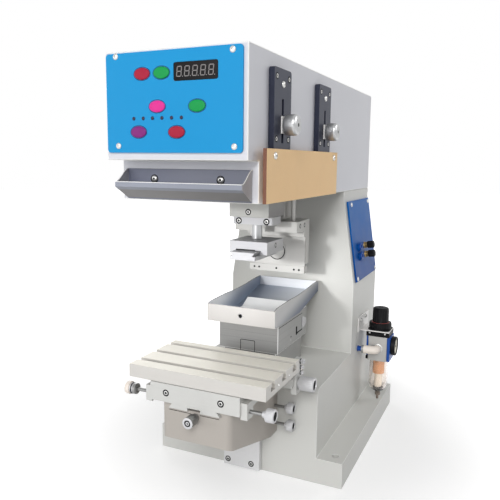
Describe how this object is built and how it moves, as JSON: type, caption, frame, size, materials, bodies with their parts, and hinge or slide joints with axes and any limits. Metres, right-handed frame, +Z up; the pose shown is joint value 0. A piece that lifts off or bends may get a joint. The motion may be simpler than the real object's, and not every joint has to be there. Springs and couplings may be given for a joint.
{
  "type": "pad printing machine",
  "caption": "Desktop pad printer: C-shaped housing, shuttle head with pad holder and doctor blade, ink tray, T-slot work table on a cross slide and knee, keypad and air regulator.",
  "frame": {"origin": "centre of the base's flat underside", "axes": "+Z up, -Y the machine's front with the control panel, +X the side with the air regulator"},
  "size_m": [0.3337, 0.5558, 0.6],
  "materials": {
    "grey_paint": "satin",
    "head_paint": "satin",
    "bin_paint": "satin",
    "panel_film": "satin",
    "service_panel_blue": "gloss",
    "display_lens": "gloss",
    "key_red": "satin",
    "key_green": "satin",
    "key_pink": "satin",
    "key_purple": "satin",
    "phenolic_sheet": "matte",
    "black_oxide_steel": "satin",
    "nickel_plate": "satin",
    "ground_steel": "satin",
    "bare_aluminium": "satin",
    "satin_aluminium": "satin",
    "cross_slide_steel": "satin",
    "table_steel": "satin",
    "knee_iron": "satin",
    "stainless_sheet": "satin",
    "circuit_board": "satin",
    "black_plastic": "satin",
    "white_plastic": "satin",
    "blue_cover": "satin",
    "clear_bowl": "gloss",
    "filter_orange": "matte",
    "brass": "satin"
  },
  "bodies": {
    "machine": {"cliche_bed": "satin_aluminium", "control_board": "circuit_board", "control_panel": "panel_film", "display_window": "display_lens", "elbow_fitting": "white_plastic", "filter_bowl": "clear_bowl", "filter_element": "filter_orange", "guard_plate": "phenolic_sheet", "guide_rod_left": "ground_steel", "guide_rod_right": "ground_steel", "head_casing": "head_paint", "ink_tray": "stainless_sheet", "knee_rail": "cross_slide_steel", "machine_housing": "grey_paint", "parts_bin": "bin_paint", "pressure_gauge": "black_plastic", "rear_cover": "grey_paint", "regulator_body": "bare_aluminium", "regulator_bonnet": "black_plastic", "regulator_cover": "blue_cover", "rod_mount_front": "bare_aluminium", "service_panel": "service_panel_blue", "shuttle_cylinder": "bare_aluminium", "stroke_plate_front": "black_oxide_steel", "stroke_plate_rear": "black_oxide_steel", "tray_pedestal": "bare_aluminium", "valve_block": "bare_aluminium", "wall_bracket": "nickel_plate"},
    "carriage": {"carriage": "bare_aluminium", "pad_cylinder": "satin_aluminium", "pad_cylinder_end_plate": "satin_aluminium", "shuttle_piston_rod": "ground_steel"},
    "pad_head": {"pad_piston_rod": "ground_steel", "pad_holder_block": "satin_aluminium", "pad_plate": "satin_aluminium"},
    "blade_head": {"blade_lift_bar": "bare_aluminium", "blade_holder": "bare_aluminium", "doctor_blade": "ground_steel"},
    "knee": {"knee": "knee_iron"},
    "saddle": {"saddle": "cross_slide_steel"},
    "table": {"work_table": "table_steel"},
    "x_screw": {"x_feed_screw": "nickel_plate"},
    "y_screw": {"y_feed_screw": "nickel_plate"},
    "upper_knee_clamp": {"knee_clamp_upper": "nickel_plate"},
    "lower_knee_clamp": {"knee_clamp_lower": "nickel_plate"},
    "thumb_screw": {"rear_thumb_screw": "nickel_plate"},
    "front_slider": {"stroke_slider_front": "nickel_plate"},
    "rear_slider": {"stroke_slider_rear": "nickel_plate"},
    "front_stroke_knob": {"stroke_knob_front": "ground_steel"},
    "rear_stroke_knob": {"stroke_knob_rear": "ground_steel"},
    "pressure_knob": {"regulator_knob": "black_plastic"},
    "drain": {"drain_valve": "brass"},
    "upper_flow_valve": {"flow_valve_upper": "black_plastic"},
    "lower_flow_valve": {"flow_valve_lower": "black_plastic"},
    "key_red_upper": {"button_red_upper": "key_red"},
    "key_green_upper": {"button_green_upper": "key_green"},
    "key_pink_middle": {"button_pink_middle": "key_pink"},
    "key_green_middle": {"button_green_middle": "key_green"},
    "key_purple_lower": {"button_purple_lower": "key_purple"},
    "key_red_lower": {"button_red_lower": "key_red"}
  },
  "joints": [
    {"name": "carriage_shuttle", "type": "slide", "parent": "machine", "child": "carriage", "axis": [0, -1, 0], "range_m": [0, 0.125]},
    {"name": "pad_stroke", "type": "slide", "parent": "carriage", "child": "pad_head", "axis": [0, 0, -1], "range_m": [0, 0.06]},
    {"name": "blade_lift", "type": "slide", "parent": "carriage", "child": "blade_head", "axis": [0, 0, -1], "range_m": [0, 0.036]},
    {"name": "knee_lift", "type": "slide", "parent": "machine", "child": "knee", "axis": [0, 0, 1], "range_m": [-0.04, 0.02]},
    {"name": "saddle_slide", "type": "slide", "parent": "knee", "child": "saddle", "axis": [0, 1, 0], "range_m": [-0.015, 0.015]},
    {"name": "table_slide", "type": "slide", "parent": "saddle", "child": "table", "axis": [1, 0, 0], "range_m": [-0.015, 0.015]},
    {"name": "x_feed_turn", "type": "hinge", "parent": "saddle", "child": "x_screw", "pos_m": [0, -0.3247, 0.1653], "axis": [1, 0, 0], "range_deg": [-2700, 2700]},
    {"name": "y_feed_turn", "type": "hinge", "parent": "knee", "child": "y_screw", "pos_m": [0, -0.3316, 0.1455], "axis": [0, 1, 0], "range_deg": [-2700, 2700]},
    {"name": "upper_clamp_turn", "type": "hinge", "parent": "knee", "child": "upper_knee_clamp", "pos_m": [0.0297, -0.1845, 0.1147], "axis": [1, 0, 0], "range_deg": [0, 360]},
    {"name": "lower_clamp_turn", "type": "hinge", "parent": "knee", "child": "lower_knee_clamp", "pos_m": [0.0297, -0.1845, 0.0878], "axis": [1, 0, 0], "range_deg": [0, 360]},
    {"name": "thumb_screw_turn", "type": "hinge", "parent": "saddle", "child": "thumb_screw", "pos_m": [0.0715, -0.2036, 0.1643], "axis": [1, 0, 0], "range_deg": [0, 360]},
    {"name": "front_stroke_setting", "type": "slide", "parent": "machine", "child": "front_slider", "axis": [0, 0, 1], "range_m": [-0.014, 0.023]},
    {"name": "front_stroke_knob_turn", "type": "hinge", "parent": "front_slider", "child": "front_stroke_knob", "pos_m": [0.1037, -0.2976, 0.518], "axis": [1, 0, 0], "range_deg": [0, 360]},
    {"name": "rear_stroke_setting", "type": "slide", "parent": "machine", "child": "rear_slider", "axis": [0, 0, 1], "range_m": [-0.014, 0.023]},
    {"name": "rear_stroke_knob_turn", "type": "hinge", "parent": "rear_slider", "child": "rear_stroke_knob", "pos_m": [0.1037, -0.1339, 0.518], "axis": [1, 0, 0], "range_deg": [0, 360]},
    {"name": "pressure_knob_turn", "type": "hinge", "parent": "machine", "child": "pressure_knob", "pos_m": [0.148, 0.085, 0.1891], "axis": [0, 0, 1], "range_deg": [-360, 720]},
    {"name": "drain_turn", "type": "hinge", "parent": "machine", "child": "drain", "pos_m": [0.148, 0.085, 0.0585], "axis": [0, 0, 1], "range_deg": [0, 90]},
    {"name": "upper_flow_turn", "type": "hinge", "parent": "machine", "child": "upper_flow_valve", "pos_m": [0.10996, 0.09715, 0.32613], "axis": [0.989, 0, 0.1477], "range_deg": [0, 720]},
    {"name": "lower_flow_turn", "type": "hinge", "parent": "machine", "child": "lower_flow_valve", "pos_m": [0.11239, 0.09715, 0.30985], "axis": [0.989, 0, 0.1477], "range_deg": [0, 720]},
    {"name": "key_red_upper_press", "type": "slide", "parent": "machine", "child": "key_red_upper", "axis": [0, 1, 0], "range_m": [0, 0.0005], "stiffness_N_per_m": 1200},
    {"name": "key_green_upper_press", "type": "slide", "parent": "machine", "child": "key_green_upper", "axis": [0, 1, 0], "range_m": [0, 0.0005], "stiffness_N_per_m": 1200},
    {"name": "key_pink_middle_press", "type": "slide", "parent": "machine", "child": "key_pink_middle", "axis": [0, 1, 0], "range_m": [0, 0.0005], "stiffness_N_per_m": 1200},
    {"name": "key_green_middle_press", "type": "slide", "parent": "machine", "child": "key_green_middle", "axis": [0, 1, 0], "range_m": [0, 0.0005], "stiffness_N_per_m": 1200},
    {"name": "key_purple_lower_press", "type": "slide", "parent": "machine", "child": "key_purple_lower", "axis": [0, 1, 0], "range_m": [0, 0.0005], "stiffness_N_per_m": 1200},
    {"name": "key_red_lower_press", "type": "slide", "parent": "machine", "child": "key_red_lower", "axis": [0, 1, 0], "range_m": [0, 0.0005], "stiffness_N_per_m": 1200}
  ],
  "couplings": [
    {"joint": "x_feed_turn", "follows": "table_slide", "rad_per_m": 3141.6},
    {"joint": "y_feed_turn", "follows": "saddle_slide", "rad_per_m": 3141.6}
  ]
}
